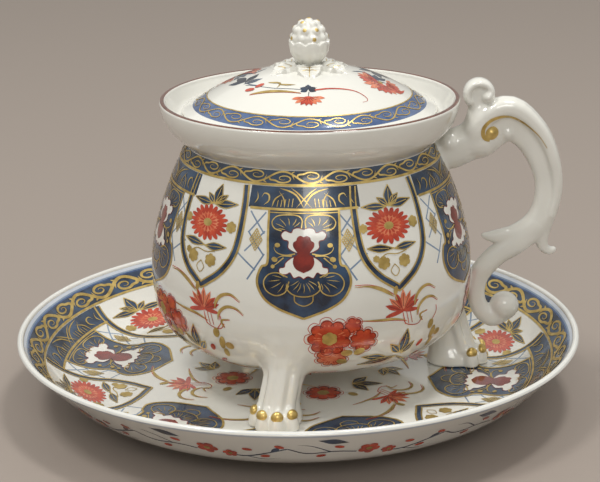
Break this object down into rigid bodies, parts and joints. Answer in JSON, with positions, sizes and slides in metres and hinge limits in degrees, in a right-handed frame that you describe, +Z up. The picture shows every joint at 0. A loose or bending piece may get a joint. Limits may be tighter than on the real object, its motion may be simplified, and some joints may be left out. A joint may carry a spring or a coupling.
{
  "type": "childbirth bowl",
  "caption": "Covered porcelain broth bowl on paw feet with a scroll handle, a domed cover with a bud finial, and a deep saucer.",
  "frame": {"origin": "centre of the saucer's foot ring, on the surface that it stands on", "axes": "+Z up; +X towards the handle; -Y towards the side with the single front foot"},
  "size_m": [0.2388, 0.2388, 0.1629],
  "materials": {
    "white_glaze": "glossy white porcelain glaze, opaque",
    "blue_enamel": "glossy underglaze blue, opaque",
    "red_enamel": "glossy iron red enamel, opaque",
    "gilding": "worn, softly polished gold",
    "brown_edge": "brown line on the rims, opaque"
  },
  "bodies": {
    "saucer": {"saucer": "white_glaze"},
    "bowl": {"bowl_body": "white_glaze", "handle": "white_glaze", "foot_front": "white_glaze", "foot_right": "white_glaze", "foot_back": "white_glaze"},
    "lid": {"lid": "white_glaze", "finial": "white_glaze", "leaf_1": "white_glaze", "leaf_2": "white_glaze", "leaf_3": "white_glaze", "leaf_4": "white_glaze", "leaf_5": "white_glaze", "leaf_6": "white_glaze"}
  },
  "joints": [
    {"name": "bowl_lift", "type": "slide", "parent": "saucer", "child": "bowl", "axis": [0, 0, 1], "range_m": [0, 0.1]},
    {"name": "lid_lift", "type": "slide", "parent": "bowl", "child": "lid", "axis": [0, 0, 1], "range_m": [0, 0.07]}
  ]
}
